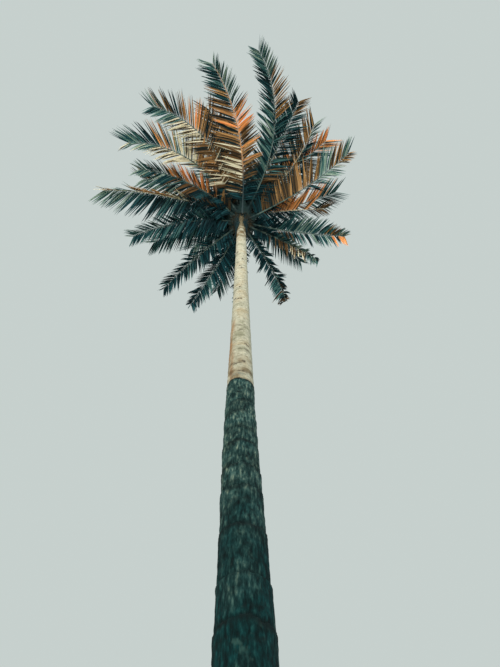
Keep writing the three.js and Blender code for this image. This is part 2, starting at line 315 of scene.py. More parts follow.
def nodeOf(number):
    return f"frond_{number + 1:02d}"


def seatOf(number):
    return seats["lowest"] + seats["rise"] * number


# The rib's heading at parts of its length, and its direction there
def bearingOf(frond, part):
    bend = part ** bendPower
    slope, heading = np.radians(frond.rise - frond.droop * bend), np.radians(frond.turn + frond.sweep * bend)
    level = np.cos(slope)
    return heading, np.stack([level * np.cos(heading), level * np.sin(heading), np.sin(slope)], -1)


def spineOf(number):
    _, moves = bearingOf(fronds[number], (np.arange(spineSteps) + 0.5) / spineSteps)
    start = trunkAxis(seatOf(number))
    return np.vstack([start, start + np.cumsum(moves, 0) * fronds[number].length / spineSteps])


# The rib's place and its three directions, for many parts of its length at once
def frameAt(number, part):
    spine = spineOf(number)
    heading, along = bearingOf(fronds[number], part)
    stations = np.arange(spineSteps + 1)
    point = np.stack([np.interp(part * spineSteps, stations, spine[:, k]) for k in range(3)], -1)
    flat = np.stack([-np.sin(heading), np.cos(heading), np.zeros_like(heading)], -1)
    roll = (math.radians(fronds[number].roll) * np.minimum(1, part / rolledAt))[:, None]
    left = np.cos(roll) * flat + np.sin(roll) * np.cross(along, flat)
    return point, along, left, np.cross(along, left)


def unit(vectors):
    return vectors / np.linalg.norm(vectors, axis=-1, keepdims=True)


# Bark: the trunk in two lengths, rough and stained below with a painted shadow of other trees over it, smooth
# and pale above

def paleBark():
    # Old palm stem, weathered dry: matt grey-cream, finely grained, with broken scars and dark ticks
    material, surface = newMaterial("weatheredPalmBark", {"Roughness": 0.88, "IOR": 1.45})
    grain, base = streaked(material, (14, 14, 52), {"Detail": 6, "Roughness": 0.68}, [
        (0.28, "#767563"), (0.42, "#9d9c8a"), (0.56, "#b2b19e"), (0.72, "#c5c3b1"),
    ])
    tinted = patched(material, base, 0.75, {"Scale": 4.2, "Detail": 5, "Roughness": 0.6},
                     [(0.34, "#b2b5a4"), (0.5, "#ffffff"), (0.7, "#e6d5bd")])
    flecks = dotted(material, squeeze=2.6, scale=26, stops=[(0.1, "#8c8c8c"), (0.2, "#000000")])
    # The first layer is painted orange sunlight on one side; the scars carry painted shade at the rings and
    # in the cracks as well as their own dark lines
    colour = layered(material, tinted, [
        ("warm", "#dba574", "MULTIPLY"), ("soil", "#a58e6c", "MULTIPLY"), ("lichen", "#66716c", "MIX"),
        ("scar", "#4d4333", "MIX"), (flecks, "#6e6450", "MIX"), ("spot", "#3b3226", "MIX"),
    ])
    coat(material, surface, colour, grain, strength=0.6, depth=0.006)
    return material


def stainedShadedBark():
    # The same stem where rain runs and algae grow, darkened all over by a painted shadow of other trees:
    # cracked lengthwise, pitted, with grey lichen
    material, surface = newMaterial("stainedShadedPalmBark", {"Roughness": 0.94, "Specular IOR Level": 0.12})
    # The dark teal base is partly the stain's own colour and partly painted shade
    streaks, mossyShade = streaked(material, (38, 38, 11), {"Detail": 5, "Roughness": 0.6}, [
        (0.32, "#021618"), (0.45, "#032426"), (0.57, "#073436"), (0.72, "#204d4c"),
    ])
    # A paler set of the same tones, which the stained bark takes on further up
    palerTones = addNode(material, "ValToRGB",
                    {"stops": [(0.32, "#0a2426"), (0.45, "#203f3f"), (0.56, "#44605c"), (0.7, "#8a9988")]},
                    {"Fac": streaks})
    dry = addNode(material, "Attribute", {"attribute_name": "dry"})
    base = addNode(material, "Mix", {"data_type": "RGBA"},
                   {0: dry.outputs["Fac"], 6: mossyShade, 7: palerTones.outputs[0]})
    dampAndShade = patched(material, base.outputs[2], 0.8, {"Scale": 5.5, "Detail": 5, "Roughness": 0.65},
                   [(0.36, "#7b8a88"), (0.6, "#ffffff")])
    _, dust = streaked(material, (30, 30, 19), {"Detail": 4, "Roughness": 0.62},
                       [(0.62, "#000000"), (0.76, "#646464")])
    pits = dotted(material, squeeze=0.45, scale=17, stops=[(0.12, "#b4b4b4"), (0.22, "#000000")])
    # The scars carry painted shade at the rings and in the cracks as well as their own dark lines
    colour = layered(material, dampAndShade, [
        (dust, "#5f786f", "MIX"), ("lichen", "#36544f", "MIX"), (pits, "#0c1a1b", "MIX"),
        ("scar", "#0a1819", "MIX"), ("spot", "#071112", "MIX"),
    ])
    coat(material, surface, colour, streaks, strength=0.8, depth=0.01)
    return material


def noiseAt(points, scale, seed):
    spread = [Vector((x * scale[0] + seed, y * scale[1], z * scale[2])) for x, y, z in points]
    return np.array([noise.noise(spot) for spot in spread])


def ease(low, high, value):
    share = np.clip((value - low) / (high - low), 0, 1)
    return share * share * (3 - 2 * share)


# Spots, as seen from the front: height, place across from -1 to 1, half width and half height in mm
lowerBark = {
    "name": "lowerBark", "foot": 0.0, "top": 6.55, "around": 204, "rows": 80, "cuts": 5, "lip": 1.9,
    "crack": 0.0045, "crackScale": (26, 26, 4.2), "lump": 0.005, "lumpScale": (6, 6, 3.5),
    "wrinkle": 0.0008, "grain": 0.002, "shadeAbove": 0.02, "shadeBelow": 0.06, "scarShade": 0.8,
    "waver": 0.026, "broken": 1.0,
    "pits": [
        (5.12, 0.3, 12, 16), (5.08, 0.38, 10, 12), (5.16, 0.42, 12, 10), (5.05, 0.22, 8, 10),
        (4.43, 0.12, 10, 22), (4.39, 0.24, 12, 16), (4.46, 0.4, 8, 12), (5.3, -0.35, 12, 10),
        (6.25, -0.15, 20, 14), (6.38, 0.25, 14, 10), (5.72, -0.55, 14, 10), (3.62, 0.52, 14, 18),
    ],
    "lichens": [
        (4.67, -0.36, 30, 17), (4.67, 0.3, 32, 20), (4.23, -0.15, 26, 14), (4.22, 0.26, 24, 12),
        (3.78, -0.12, 24, 16), (3.77, 0.48, 26, 18), (3.52, 0.58, 40, 24), (3.39, -0.26, 45, 30),
        (3.34, -0.1, 34, 22), (4.02, 0.26, 14, 30), (5.24, -0.35, 20, 14), (5.8, 0.2, 40, 18),
        (6.3, 0.55, 30, 16),
    ],
}
upperBark = {
    "name": "upperBark", "foot": 6.556, "top": trunk["top"], "around": 160, "rows": 100, "cuts": 5,
    "lip": 0.8, "crack": 0.0012, "crackScale": (20, 20, 7), "lump": 0.004, "lumpScale": (6, 6, 3.4),
    "wrinkle": 0.0012, "grain": 0.0012, "shadeAbove": 0.01, "shadeBelow": 0.016, "scarShade": 0.7,
    "waver": 0.022, "broken": 0.62,
    "pits": [
        (12.0, -0.7, 30, 60), (11.45, 0.3, 24, 45), (11.2, -0.45, 26, 40), (10.98, -0.15, 24, 40),
        (9.75, -0.15, 20, 30), (9.25, -0.75, 35, 40), (9.18, -0.15, 40, 30), (10.84, 0.1, 45, 35),
        (8.09, -0.08, 24, 32), (7.94, 0.03, 20, 22), (7.5, 0.5, 30, 18), (7.48, 0.66, 20, 14),
        (7.33, -0.02, 26, 18), (7.32, 0.5, 30, 20), (6.98, 0.28, 22, 30), (6.92, -0.3, 60, 14),
        (6.72, 0.15, 70, 16),
    ],
    "lichens": [(6.66, -0.05, 110, 35), (6.64, 0.35, 70, 30)],
}
# How dark the painted shade at each ring is, by the ring's height
ringShade = {
    3.15: 0.6, 3.54: 1.0, 3.87: 0.35, 4.31: 1.0, 4.74: 0.7, 5.02: 1.0, 5.36: 1.0, 5.58: 0.35, 5.87: 0.7,
    6.08: 0.7, 6.55: 1.0, 8.58: 0.3, 9.72: 0.4, 10.3: 0.3, 12.1: 0.3, "others": 0.7,
}
backSpots = {
    "seed": 21, "pits": 70, "lichens": 50, "angle": (0.2, 2.94), "margin": 0.1, "wide": (0.01, 0.035),
    "tall": (0.01, 0.03),
}
# What both lengths share. The noises say how fine they are across, across and up, and their seed. The
# marks say how far they reach, and how patchy they are: a base, and what the noise adds to it
barkNoise = {
    "waver": ((1.2, 1.2, 0.8), 1.7), "fineWaver": ((14, 14, 5), 8.8), "grain": ((48, 48, 30), 5.1),
    "broken": ((2.3, 2.3, 3.1), 7.1), "minor": ((3, 3, 6), 4.4), "warm": ((3, 3, 2), 9.2),
    "soil": ((9, 9, 7), 6.3), "dry": ((5, 5, 3), 2.9), "crackSeed": 3.7, "lumpSeed": 11.3,
}
bark = {
    "smooth": 50, "fineWaver": 0.006, "crackEdge": 4, "wrinkleSpacing": 0.115, "wrinkleWander": 3,
    "groove": 0.008, "grooveHeight": 0.018, "footFade": 0.03, "underEdge": 0.2, "brokenPatch": 1.5,
    "minorLines": (3, 1.8), "minorPatch": (-0.1, 0.4), "minorShade": 0.45, "crackShade": 0.35,
    "crackPower": 6, "pitEdge": 0.006, "pitShade": 0.75, "lichenEdge": 0.016, "lichenPatch": (0.25, 1.6),
    "lichenMost": 0.5,
    "sunlitSide": (0.62, 1.0), "warmTurn": 0.25, "warmFrom": (6.3, 6.7), "warmTo": (8.1, 8.6),
    "warmPatch": (0.7, 1.4), "brownedTop": (12.9, 13.4), "brownedFoot": (6.9, 7.3), "brownedFootStrength": 0.8,
    "brownedPatch": (0.6, 1.6), "palerUpFrom": (3.4, 6.0), "palerUpPatch": 0.6,
}


# The front spots in their places, and others dealt over the side that the photo doesn't show
def spotMarks(piece, kind, angles, heights, rng):
    low, high = piece["foot"] + backSpots["margin"], piece["top"] - backSpots["margin"]
    spots = [(height, math.asin(across) - math.pi / 2, wide / 1000, tall / 1000)
             for height, across, wide, tall in piece[kind]]
    for _ in range(backSpots[kind]):
        height, angle = rng.uniform(low, high), rng.uniform(*backSpots["angle"])
        spots.append((height, angle, rng.uniform(*backSpots["wide"]), rng.uniform(*backSpots["tall"])))
    marks = np.zeros(len(heights))
    for height, angle, wide, tall in spots:
        across = ((angles - angle + math.pi) % math.tau - math.pi) * float(trunkRadius(height))
        marks = np.maximum(marks, np.exp(-((across / wide) ** 4 + ((heights - height) / tall) ** 4)))
    return marks


def patchy(base, gain, pattern, most=1):
    return np.clip(base + gain * pattern, 0, most)


# Swells and furrows the tube, and marks what its bark's colours follow: the scars and spots, with painted
# shade at the rings and in the cracks, the painted orange sunlight on one side, the browner lengths and the
# stain's paler upper part
def carveBark(tube, piece):
    points = pointsOf(tube)
    heights = points[:, 2]
    angles = np.arctan2(points[:, 1], points[:, 0])
    plain = trunkRadius(heights)
    skin, wheel = aroundZ(angles, plain, heights), aroundZ(angles, 1, heights)
    wavered = heights + piece["waver"] * noiseAt(wheel, *barkNoise["waver"])
    wavered += bark["fineWaver"] * noiseAt(skin, *barkNoise["fineWaver"])
    edges = np.array([0] + scars + [trunk["top"]])
    index = np.clip(np.searchsorted(edges, wavered, side="right") - 1, 0, len(edges) - 2)
    above, below = wavered - edges[index], edges[index + 1] - wavered
    swell = lip["depth"] * piece["lip"] * np.exp(-heights / lip["fade"]) * (above / (above + below)) ** 2
    cracks = np.abs(noiseAt(skin, piece["crackScale"], barkNoise["crackSeed"]))
    cracks = 1 - np.minimum(1, cracks * bark["crackEdge"])
    lumps = noiseAt(skin, piece["lumpScale"], barkNoise["lumpSeed"])
    grain = noiseAt(skin, *barkNoise["grain"])
    wrinkles = np.sin(heights * math.tau / bark["wrinkleSpacing"] + lumps * bark["wrinkleWander"])
    groove = bark["groove"] * np.exp(-(above / bark["grooveHeight"]) ** 2)
    relief = swell - piece["crack"] * cracks + piece["lump"] * lumps + wrinkles * piece["wrinkle"]
    relief += piece["grain"] * grain - groove
    fade = np.minimum(1, heights / bark["footFade"])  # the foot stays flat and round on the ground
    tube.data.vertices.foreach_set("co", aroundAxis(angles, plain + fade * relief, heights).ravel())

    broken = patchy(piece["broken"], bark["brokenPatch"], noiseAt(wheel, *barkNoise["broken"]))
    # At each ring the scar's own dark line over its step, and painted shade in a band under its swollen lip
    shades = np.array([0] + [ringShade.get(scar, ringShade["others"]) for scar in scars] + [0])
    over = shades[index] * np.exp(-(above / piece["shadeAbove"]) ** 2)
    under = shades[index + 1] * (1 - ease(bark["underEdge"], 1, below / piece["shadeBelow"]))
    scarLineAndLipShade = np.maximum(over, under)
    gain, level = bark["minorLines"]
    minor = np.clip(-wrinkles * gain - level, 0, 1)
    minor = minor * ease(*bark["minorPatch"], noiseAt(wheel, *barkNoise["minor"]))
    # Painted shade in the deepest cracks
    shadeInCracks = bark["crackShade"] * cracks ** bark["crackPower"]
    # Painted orange sunlight on one side of the pale bark, for about two metres above its foot
    sunlitSide = ease(*bark["sunlitSide"], -np.cos(angles - bark["warmTurn"]))
    sunlitLength = ease(*bark["warmFrom"], heights) * (1 - ease(*bark["warmTo"], heights))
    # Browner just under the crown and just above the pale bark's foot
    brownedFoot = (1 - ease(*bark["brownedFoot"], heights)) * bark["brownedFootStrength"]
    soil = (ease(*bark["brownedTop"], heights) + brownedFoot) * patchy(
        *bark["brownedPatch"], noiseAt(skin, *barkNoise["soil"]))
    # Paler further up the stained bark
    dry = ease(*bark["palerUpFrom"], heights) + bark["palerUpPatch"] * noiseAt(skin, *barkNoise["dry"])
    rng = np.random.default_rng(backSpots["seed"])
    pits = spotMarks(piece, "pits", angles, heights + bark["pitEdge"] * grain, rng)
    lichens = spotMarks(piece, "lichens", angles, heights + bark["lichenEdge"] * grain, rng)
    marks = {
        "spot": pits * (bark["pitShade"] + grain),
        "lichen": lichens * patchy(*bark["lichenPatch"], grain, bark["lichenMost"]),
        "scar": np.clip(piece["scarShade"] * scarLineAndLipShade * broken + shadeInCracks + bark["minorShade"] * minor, 0, 1),
        "warm": sunlitSide * sunlitLength * patchy(*bark["warmPatch"], noiseAt(wheel, *barkNoise["warm"])),
        "soil": np.clip(soil, 0, 1),
        "dry": np.clip(dry, 0, 1),
    }
    for name, values in marks.items():
        tube.data.attributes.new(name, "FLOAT", "POINT").data.foreach_set("value", values)


def barkTube(piece, material):
    tube = plainTube(piece)
    carveBark(tube, piece)
    return dress(tube, material, bark["smooth"])


for piece in (barkTube(lowerBark, stainedShadedBark()), barkTube(upperBark, paleBark())):
    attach(piece, "root")
    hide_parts("trunk")
print("trunk done")


# The heart: the column of leaf sheaths on top of the trunk, with its loose fibre

def sheathFibre(name, dark, light):
    # Coir, the palm's own coarse sacking: brown, matt, all fine threads along the stem
    material, surface = newMaterial(name, {"Roughness": 0.95, "Specular IOR Level": 0.15})
    grain, base = streaked(material, (150, 150, 9), {"Detail": 4, "Roughness": 0.7},
                           [(0.35, dark), (0.68, light)])
    coat(material, surface, base, grain, strength=0.8, depth=0.004)
    return material


smoothHeart = 60
heart = {
    "name": "heartColumn", "foot": 14.34, "top": heartTop, "around": 96, "rows": 46, "cuts": 0,
    "collar": 0.25, "collarFade": 0.4, "furrow": 0.007, "swag": 0.01,
    "sink": 0.006, "furrowNoise": ((9, 9, 2), 2.2), "swagNoise": ((2, 2, 7), 5.9),
}


# The column's foot hangs down in a collar on the side away from the photo
def heartColumn(material):
    column = plainTube(heart)
    points = pointsOf(column)
    angles = np.arctan2(points[:, 1], points[:, 0])
    lowered = 1 - ease(heart["foot"], heart["foot"] + heart["collarFade"], points[:, 2])
    heights = points[:, 2] - heart["collar"] * (1 + np.sin(angles)) * lowered
    wheel = aroundZ(angles, 1, heights)
    furrows, swags = noiseAt(wheel, *heart["furrowNoise"]), noiseAt(wheel, *heart["swagNoise"])
    radius = heartRadius(heights) - heart["sink"] + heart["furrow"] * furrows + heart["swag"] * swags
    column.data.vertices.foreach_set("co", aroundAxis(angles, radius, heights).ravel())
    return dress(column, material, smoothHeart)


cloth = {
    "seed": 41, "count": 46, "columns": 7, "rows": 8, "rise": (0.02, 1.25), "height": (0.16, 0.34),
    "spread": (0.5, 1.1), "narrowing": 0.55, "rounding": 0.5, "torn": 0.16, "stand": 0.008, "flare": 0.02,
    "crumple": 0.005,
}


# Ragged flaps of sacking, wrapped round the column and torn along their upper edge
def sheathFlaps(material):
    rng = np.random.default_rng(cloth["seed"])
    points, faces = [], []
    for _ in range(cloth["count"]):
        foot = trunk["top"] + rng.uniform(*cloth["rise"])
        middle = rng.uniform(0, math.tau)
        spread = rng.uniform(*cloth["spread"])
        tall = rng.uniform(*cloth["height"])
        faces += gridFaces(len(points), cloth["rows"], cloth["columns"])
        for row in range(cloth["rows"]):
            for column in range(cloth["columns"]):
                across = column / (cloth["columns"] - 1) - 0.5
                up = row / (cloth["rows"] - 1)
                angle = middle + spread * across * (1 - cloth["narrowing"] * up ** 2)
                torn = cloth["torn"] * rng.random() * up
                height = foot + tall * up * (1 - cloth["rounding"] * abs(across) - torn)
                stand = cloth["stand"] + cloth["flare"] * up ** 2 + cloth["crumple"] * rng.random()
                points.append(aroundAxis(angle, heartRadius(height) + stand, height))
    return meshFromArrays("sheathFlaps", np.array(points), faces, material, smoothHeart)


webs = {
    "seed": 44, "rows": 16, "columns": 6, "from": 0.012, "until": 0.18, "width": 0.22, "ragged": (0.55, 1),
    "taper": 0.8, "tuck": 0.4, "crumple": 0.01, "sag": 0.06,
}


# The torn sacking that still hangs from both edges of every stalk's foot, made wide and dark so that it fills
# the heart's gaps with painted shade
def stalkWebs(material):
    rng = np.random.default_rng(webs["seed"])
    points, faces = [], []
    parts = np.linspace(webs["from"], webs["until"], webs["rows"])
    for number in range(len(fronds)):
        place, _, left, up = frameAt(number, parts)
        for side in (1, -1):
            grid = gridFaces(len(points), webs["rows"], webs["columns"], acrossFirst=False)
            faces += grid if side > 0 else turned(grid)
            for row in range(webs["rows"]):
                ragged = rng.uniform(*webs["ragged"])
                wide = webs["width"] * (1 - row / webs["rows"]) ** webs["taper"] * ragged
                inner = webs["tuck"] * float(np.interp(parts[row], ribParts, ribWidths))
                for column in range(webs["columns"]):
                    out = column / (webs["columns"] - 1)
                    crumple = up[row] * webs["crumple"] * rng.normal()
                    spot = place[row] + side * left[row] * (inner + wide * out) + crumple
                    spot[2] -= webs["sag"] * out ** 2
                    points.append(spot)
    return meshFromArrays("stalkWebs", np.array(points), faces, material, smoothHeart)


threads = {
    "seed": 42, "count": 900, "rise": (0.0, 1.3), "length": (0.08, 0.3), "width": 0.003, "steps": 5,
    "stand": 0.004, "aside": 0.5, "lift": (0.1, 0.7), "taper": 0.8, "weight": 0.32, "curl": 0.12,
}


# Single fibres that have come loose and hang between the stalks
def looseFibres(material):
    rng = np.random.default_rng(threads["seed"])
    points, faces = [], []
    for _ in range(threads["count"]):
        height = trunk["top"] + rng.uniform(*threads["rise"])
        angle = rng.uniform(0, math.tau)
        length = rng.uniform(*threads["length"])
        outward = np.array([math.cos(angle), math.sin(angle), 0])
        beside = np.array([-math.sin(angle), math.cos(angle), 0])
        place = trunkAxis(height) + outward * (heartRadius(height) + threads["stand"])
        aside = beside * rng.normal(0, threads["aside"])
        heading = unit(outward + aside + np.array([0, 0, rng.normal(*threads["lift"])]))
        faces += gridFaces(len(points), threads["steps"], 2)
        for step in range(threads["steps"]):
            half = threads["width"] * (1 - threads["taper"] * step / threads["steps"]) / 2
            points.extend([place + beside * half, place - beside * half])
            heading = unit(heading + np.array([0, 0, -threads["weight"]]) + rng.normal(0, threads["curl"], 3))
            place = place + heading * length / threads["steps"]
    return meshFromArrays("looseFibres", np.array(points), faces, material)


boots = {
    "seed": 43, "columns": 9, "rows": 14, "frontFoot": 14.34, "fall": 0.65, "lowest": 13.55, "ragged": 0.1,
    "above": 0.05, "shortest": 0.3, "spread": 0.66, "spreadPower": 1.6, "point": 0.02, "stand": 0.014,
    "edgeSink": 0.6, "ridge": 0.03, "crumple": 0.003, "bareHalf": 0.35, "bareFade": 2.5,
}


# The clasping foot of every leaf, running down the column from its stalk and out to a point
def leafBases():
    # Green-brown leaf base: hard ribbed skin, dull, nearly black in the crown's own shade
    material, surface = newMaterial("palmLeafBase", {"Roughness": 0.8, "Specular IOR Level": 0.08})
    ribbing, base = streaked(material, (70, 70, 6), {"Detail": 4},
                             [(0.35, "#0c1f22"), (0.58, "#14292c"), (0.78, "#26383a")])
    coat(material, surface, base, ribbing, strength=0.5, depth=0.004)
    rng = np.random.default_rng(boots["seed"])
    points, faces = [], []
    for number, frond in enumerate(fronds):
        facing = (math.radians(frond.turn) - math.pi / 2) % math.tau - math.pi  # from the photo's side
        if abs(facing) < boots["bareHalf"]:
            continue  # here the fibre of the column shows, as in the photo
        top = seatOf(number) + boots["above"]
        fallen = boots["frontFoot"] - boots["fall"] * (abs(facing) - boots["bareHalf"])
        foot = max(boots["lowest"], fallen) + rng.uniform(0, boots["ragged"])
        drop = max(boots["shortest"], top - foot)
        faces += gridFaces(len(points), boots["rows"], boots["columns"], acrossFirst=False)
        for row in range(boots["rows"]):
            down = row / (boots["rows"] - 1)
            height = top - drop * down
            spread = boots["spread"] * (1 - down ** boots["spreadPower"]) + boots["point"]
            bare = boots["bareHalf"] * min(1, boots["bareFade"] * (1 - down))
            for column in range(boots["columns"]):
                across = 2 * column / (boots["columns"] - 1) - 1
                aside = facing + spread * across
                if abs(aside) < bare:
                    aside = math.copysign(bare, facing)
                ridge = boots["ridge"] * (1 - across * across) * (1 - down) + boots["crumple"] * rng.random()
                stand = boots["stand"] * (1 - boots["edgeSink"] * abs(across))
                radius = max(heartRadius(height), trunkRadius(height)) + stand + ridge
                points.append(aroundAxis(aside - math.pi / 2, radius, height))
    return meshFromArrays("leafBases", np.array(points), faces, material, smoothHeart)


heartPieces = [
    heartColumn(sheathFibre("coirColumn", "#2a281d", "#857b60")),
    sheathFlaps(sheathFibre("coirSacking", "#262117", "#6b5a41")),
    # The stalks' sacking is darkened to painted shade
    stalkWebs(sheathFibre("coirShade", "#12272a", "#2b3c38")),
    looseFibres(sheathFibre("coirThreads", "#2c2317", "#7b6342")),
    leafBases(),
]
for piece in heartPieces:
    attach(piece, "root")
    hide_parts("heart")
print("heart done")


# Ribs: the bare stalk of each frond and the rib that runs on to its tip

def ribMaterial(name, dark, light, foot):
    # Palm rib: hard smooth skin with a satin shine, streaked along its length, with painted shade of the
    # crown at its foot
    material, surface = newMaterial(name, {"Roughness": 0.5, "IOR": 1.46, "Specular IOR Level": 0.35})
    _, base = streaked(material, (9, 9, 9), {"Detail": 4, "Roughness": 0.6}, [(0.36, dark), (0.64, light)])
    reach = addNode(material, "Attribute", {"attribute_name": "reach"})
    shaded = addNode(material, "ValToRGB", {"stops": [(foot[0], "#ffffff"), (foot[1], "#000000")]},
                     {"Fac": reach.outputs["Fac"]})
    coat(material, surface, layered(material, base, [(shaded.outputs[0], "#1c3436", "MIX")]))
    return material


# The two colours of each kind of rib, and the part of its length over which the painted shade at its foot
# ends
# The pale and warm ribs are painted as in sunlight, the green ones are partly painted shade
ribTints = {
    "green": ("#27413e", "#6c8075", (0.1, 0.19)), "pale": ("#cbbb95", "#f2e9c8", (0.05, 0.12)),
    "paleLongShade": ("#cbbb95", "#f2e9c8", (0.42, 0.52)), "warm": ("#a8794e", "#e6b07c", (0.28, 0.44)),
}
ribShape = {
    "stations": 44, "start": 0.01, "spacingPower": 1.15, "flare": 0.17, "flareFade": 0.16, "hollow": 0.55,
    "ridge": 0.55, "shoulder": 0.45, "smooth": 40,
    "below": [(-0.86, -0.3), (-0.5, -0.82), (0, -1), (0.5, -0.82), (0.86, -0.3)],
}


# The rib's outline: hollow on top by the trunk, ridged on top along the blade, round below
def ribOutline(part):
    blade, edge = min(1, part / stalkPart), ribShape["shoulder"]
    top = ribShape["ridge"] * blade - ribShape["hollow"] * (1 - blade)
    above = [(1, edge), (0.5, edge + top / 2), (0, edge + top), (-0.5, edge + top / 2), (-1, edge)]
    return above + ribShape["below"]


# One straight rib, a closed ten-sided bar up the z axis with a ring of points at every station
def straightRib():
    sides = len(ribOutline(0))
    bpy.ops.mesh.primitive_circle_add(vertices=sides, radius=1, fill_type="NGON", location=(0, 0, 0))
    bar = bpy.context.object
    setMode("EDIT")
    bpy.ops.mesh.select_all(action="SELECT")
    extrudeUp(ribShape["stations"] - 1, 1)
    turnOutwards()
    return bar


# A copy of the straight rib, laid along one frond
def bentRib(bar, number):
    spacing = np.linspace(0, 1, ribShape["stations"]) ** ribShape["spacingPower"]
    parts = ribShape["start"] + (1 - ribShape["start"]) * spacing
    point, _, left, up = frameAt(number, parts)
    flare = ribShape["flare"] * np.exp(-parts * fronds[number].length / ribShape["flareFade"])
    halfWidths = (np.interp(parts, ribParts, ribWidths) + flare) / 2
    halfDepths = np.interp(parts, ribParts, ribDepths) / 2
    rib = bar.copy()
    rib.data = bar.data.copy()
    bpy.context.scene.collection.objects.link(rib)
    reach = []
    for vertex in rib.data.vertices:
        station = round(vertex.co.z)
        outline = ribOutline(parts[station])
        corner = round(math.atan2(vertex.co.y, vertex.co.x) / (math.tau / len(outline))) % len(outline)
        across, height = outline[corner]
        aside, raised = across * halfWidths[station], height * halfDepths[station]
        vertex.co = point[station] + left[station] * aside + up[station] * raised
        reach.append(parts[station])
    rib.data.attributes.new("reach", "FLOAT", "POINT").data.foreach_set("value", reach)
    return rib


# All the ribs of one tint, joined
def ribPiece(tint, bar):
    members = [number for number, frond in enumerate(fronds) if frond.rib == tint]
    ribs = [bentRib(bar, number) for number in members]
    bpy.ops.object.select_all(action="DESELECT")
    for rib in ribs:
        rib.select_set(True)
    piece = ribs[0]
    bpy.context.view_layer.objects.active = piece
    if len(ribs) > 1:
        bpy.ops.object.join()
    setMode("EDIT")
    turnOutwards()
    piece.name = piece.data.name = tint + "Ribs"
    dress(piece, ribMaterial("palmRib_" + tint, *ribTints[tint]), ribShape["smooth"])
    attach(piece, "root")
    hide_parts(*[nodeOf(number) for number in members])


plainBar = straightRib()
for tint in ribTints:
    ribPiece(tint, plainBar)
bpy.data.objects.remove(plainBar)
print("ribs done")


# Leaflets: long narrow blades, folded along their midrib, on both sides of every rib. Wind has
# gathered them in sprays of a few, which hang alike and share a mix of tints

# Angles are in degrees. A wander is how much the sprays differ, then the leaflets of a spray
leaf = {
    "seed": 7, "pitch": 0.029, "spray": 3, "gather": (1.0, 0.9), "thinning": (0.35, 0.8), "placeShift": 0.2,
    "length": 0.95, "fullFrond": 4.2, "lengths": (0.92, 1.04), "tornShare": 0.05, "torn": (0.5, 0.8),
    "swellStart": 0.15, "swellSpan": 0.65, "swellPower": 0.6,
    "width": (0.056, 0.04), "slimmest": 0.6, "widths": (0.85, 1.1), "footWidth": 0.42, "widestAt": 0.22,
    "taperFrom": 0.42, "taperPower": 0.8, "crease": 26, "steps": 10,
    "widest": 86, "fall": 52, "fallPower": 1.2, "angleWander": (2.6, 1.2), "foldWander": 5, "agedFold": 4,
    "leafFold": 2.5, "sag": 0.25, "droop": (0.1, 0.55), "droopWander": (0.35, 0.2), "droopLimits": (0.2, 2),
    "droopAtFoot": 0.3, "droopGain": 2, "tilt": 16, "tiltWander": (10, 12), "twist": 20, "seatAside": 0.36,
    "seatUp": 0.2, "smooth": 35,
}
# The leaflets' plain colours paint the crown's sun and shade as well as their own: shade, teal and umber are
# largely leaflets in painted shade, cream, tan and orange partly leaflets in painted sunlight and partly dry
# ones
leafTints = {
    "shade": "#0f2c31", "teal": "#215056", "slate": "#4f7a76", "grey": "#9bb2a2", "cream": "#f2ebcd",
    "umber": "#3f3628", "brown": "#755a3a", "tan": "#bd925d", "orange": "#ffb06a",
}
# What each word of a frond's row deals to the leaflets of a spray, from the first to the last; the first is
# darker, painted shade where the next leaflet shadows it
sprayMixes = {
    "shade": ("shade", "shade", "teal"), "teal": ("shade", "teal", "slate"),
    "grey": ("teal", "grey", "slate"), "cream": ("umber", "cream", "cream"),
    "straw": ("umber", "cream", "brown"), "umber": ("shade", "umber", "brown"),
    "tan": ("shade", "tan", "brown"), "fawn": ("brown", "tan", "tan"), "rust": ("shade", "orange", "tan"),
    "orange": ("brown", "orange", "orange"), "gone": (),
}
dealing = {"wander": 0.35, "strays": 0.3}
trunkClearance = 0.015


def leafMaterial(tint):
    # Living palm leaflet: a thin waxy skin, dulled by dust and salt, so it shines only faintly
    return newMaterial("palmLeaflet_" + tint, {
        "Base Color": linear(leafTints[tint]), "Roughness": 0.55, "IOR": 1.45, "Specular IOR Level": 0.25,
    })[0]


# The leaflet's width at a part of its own length, as a share of its widest
def widthShare(reach):
    grown = min(1, leaf["footWidth"] + reach / leaf["widestAt"] * (1 - leaf["footWidth"]))
    left = 1 - max(0, reach - leaf["taperFrom"]) / (1 - leaf["taperFrom"])
    return grown * left ** leaf["taperPower"]


